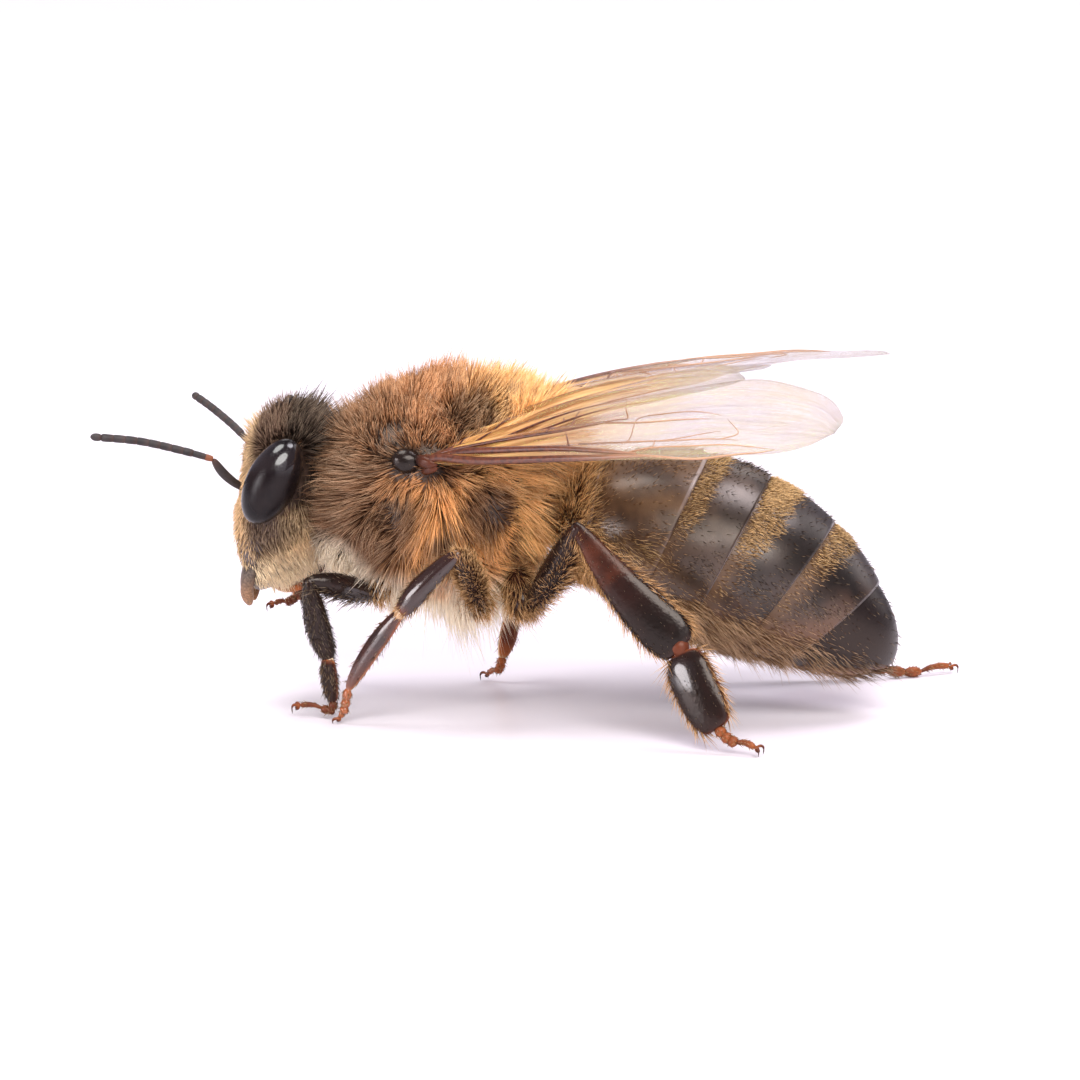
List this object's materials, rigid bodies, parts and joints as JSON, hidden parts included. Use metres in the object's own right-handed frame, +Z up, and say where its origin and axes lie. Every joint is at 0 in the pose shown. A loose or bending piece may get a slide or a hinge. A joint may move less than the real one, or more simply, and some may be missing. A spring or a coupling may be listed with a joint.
{
  "type": "honey bee",
  "caption": "Life-size still model of a worker honey bee standing on its feet, wings half open and a front foot raised.",
  "frame": {"origin": "middle of the floor under the bee's bounding box, on the plane its feet stand on", "axes": "-Y forwards, +X the bee's left, +Z up"},
  "size_m": [0.0112, 0.0168, 0.0074],
  "materials": {
    "body_fur": "golden brown fur, paler at the tips",
    "face_fur": "short grey-brown and golden fur",
    "eye": "glossy black, finely faceted",
    "plate": "glossy dark brown plates with golden bands of short hair",
    "horn": "glossy dark brown, orange-brown at the edges",
    "feeler": "dull dark brown, finely ringed",
    "leg": "glossy dark brown with hairs",
    "foot": "glossy red-brown with orange hairs",
    "wing": "clear membrane with red-brown veins"
  },
  "bodies": {
    "root": {"head": "face_fur", "neck": "body_fur", "thorax": "body_fur", "labrum": "horn", "proboscis": "horn", "abdomen_1": "plate", "abdomen_2": "plate", "abdomen_3": "plate", "abdomen_4": "plate", "abdomen_5": "plate", "abdomen_6": "plate", "eye_left": "eye", "mandible_left": "horn", "scape_left": "feeler", "flagellum_left": "feeler", "tegula_left": "horn", "fore_wing_left": "wing", "hind_wing_left": "wing", "eye_right": "eye", "mandible_right": "horn", "scape_right": "feeler", "flagellum_right": "feeler", "tegula_right": "horn", "fore_wing_right": "wing", "hind_wing_right": "wing", "coxa_fore_left": "leg", "femur_fore_left": "leg", "tibia_fore_left": "leg", "basitarsus_fore_left": "foot", "tarsus_fore_left": "foot", "coxa_mid_left": "leg", "femur_mid_left": "leg", "tibia_mid_left": "leg", "basitarsus_mid_left": "foot", "tarsus_mid_left": "foot", "coxa_hind_left": "leg", "femur_hind_left": "leg", "tibia_hind_left": "leg", "basitarsus_hind_left": "foot", "tarsus_hind_left": "foot", "coxa_fore_right": "leg", "femur_fore_right": "leg", "tibia_fore_right": "leg", "basitarsus_fore_right": "foot", "tarsus_fore_right": "foot", "coxa_mid_right": "leg", "femur_mid_right": "leg", "tibia_mid_right": "leg", "basitarsus_mid_right": "foot", "tarsus_mid_right": "foot", "coxa_hind_right": "leg", "femur_hind_right": "leg", "tibia_hind_right": "leg", "basitarsus_hind_right": "foot", "tarsus_hind_right": "foot"}
  },
  "joints": []
}
